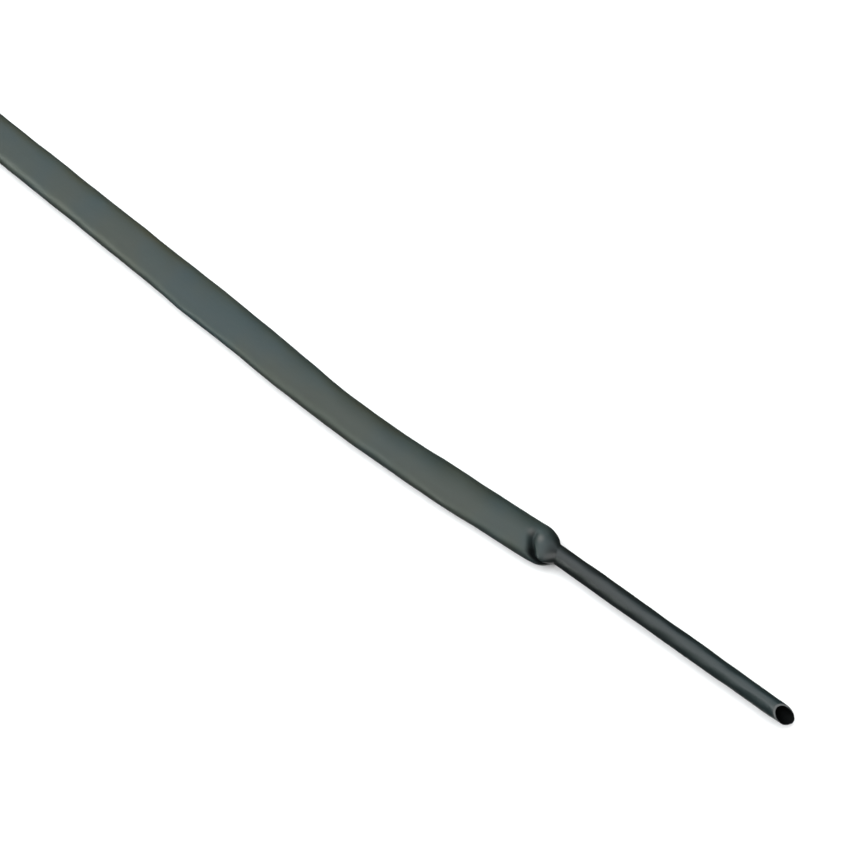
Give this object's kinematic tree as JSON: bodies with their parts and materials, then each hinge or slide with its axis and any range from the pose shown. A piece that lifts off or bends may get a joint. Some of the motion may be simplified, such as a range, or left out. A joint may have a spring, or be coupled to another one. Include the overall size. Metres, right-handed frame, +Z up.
{
  "type": "heat shrink tube",
  "caption": "Black heat shrink tube, wide over most of its length, with one end shrunk to a thin round tube cut on the slant; slides over a cable and shrinks on to insulate it.",
  "frame": {"origin": "centre of the tube's box, on the floor that it lies on", "axes": "+X along the recovered end towards its slanted tip, +Y to the side that the bend opens to, +Z up"},
  "size_m": [0.4998, 0.0328, 0.0114],
  "materials": {
    "heat_shrink_plastic": "satin black, faintly green-grey"
  },
  "bodies": {
    "root": {"heat_shrink_tube": "heat_shrink_plastic"}
  },
  "joints": []
}
